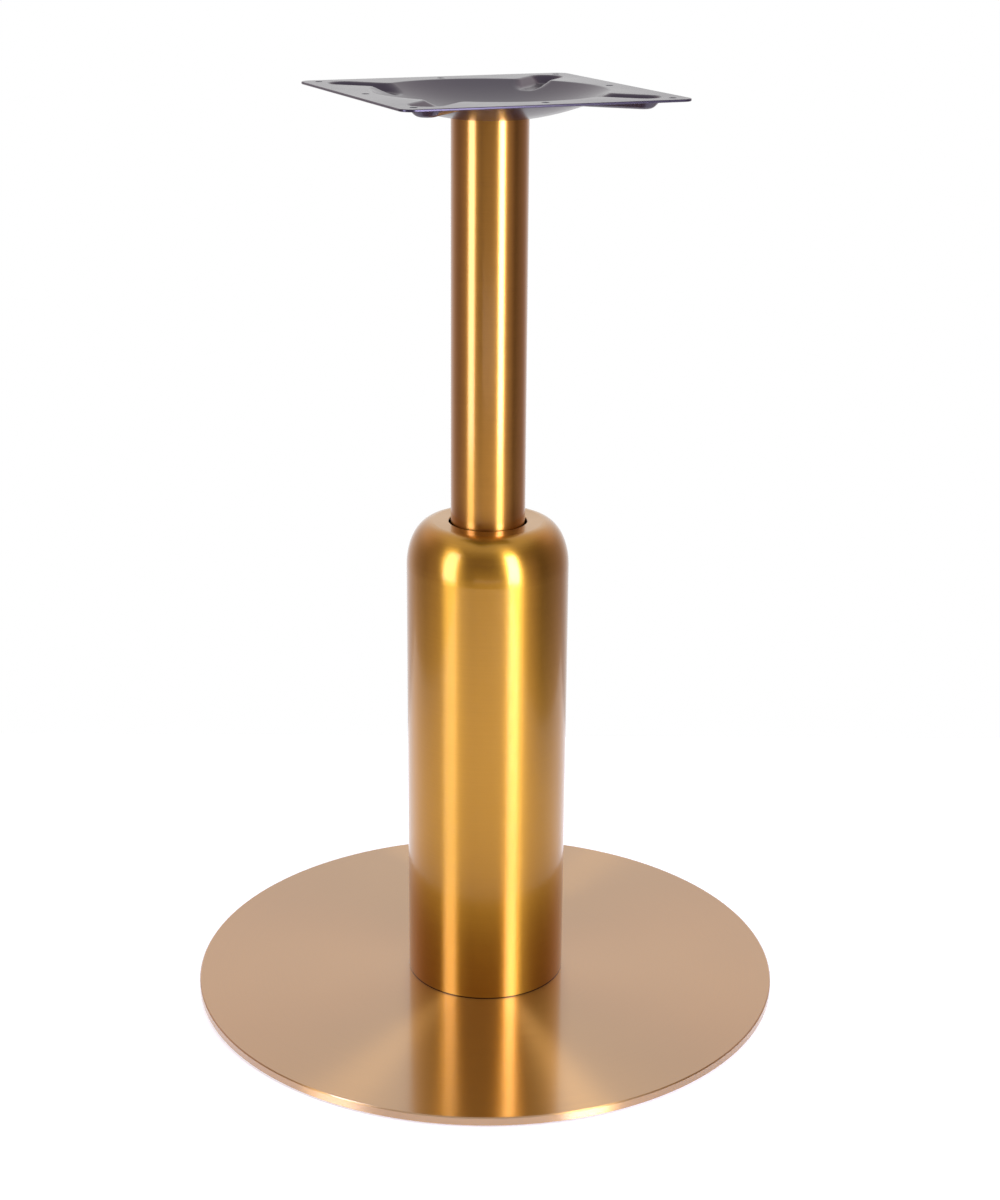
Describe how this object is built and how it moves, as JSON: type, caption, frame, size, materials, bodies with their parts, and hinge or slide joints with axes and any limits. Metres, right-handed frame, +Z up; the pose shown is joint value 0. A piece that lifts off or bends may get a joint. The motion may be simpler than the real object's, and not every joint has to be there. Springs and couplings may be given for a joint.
{
  "type": "pedestal table base",
  "caption": "Pedestal table base: flat round foot, wide sleeve with a rounded shoulder over a slim column, and a pressed square top plate that a table top is screwed to.",
  "frame": {"origin": "on the floor, under the middle of the round foot", "axes": "+Z up along the column; the edges of the square top plate run along X and Y"},
  "size_m": [0.4659, 0.466, 0.71],
  "materials": {
    "brass_finish": "brushed brass colour on steel, brush marks round the axis",
    "dark_paint": "satin dark grey powder coat",
    "plain_steel": "plain machined steel",
    "zinc_steel": "bright zinc plate",
    "glide_plastic": "black moulded plastic"
  },
  "bodies": {
    "root": {"base_disc": "brass_finish", "floor_glides": "glide_plastic", "foot_flange": "plain_steel", "flange_screws": "zinc_steel", "column_tube": "brass_finish", "column_sleeve": "brass_finish", "tube_plug": "plain_steel", "top_plate": "dark_paint", "plain_washer": "zinc_steel", "top_bolt": "zinc_steel"}
  },
  "joints": []
}
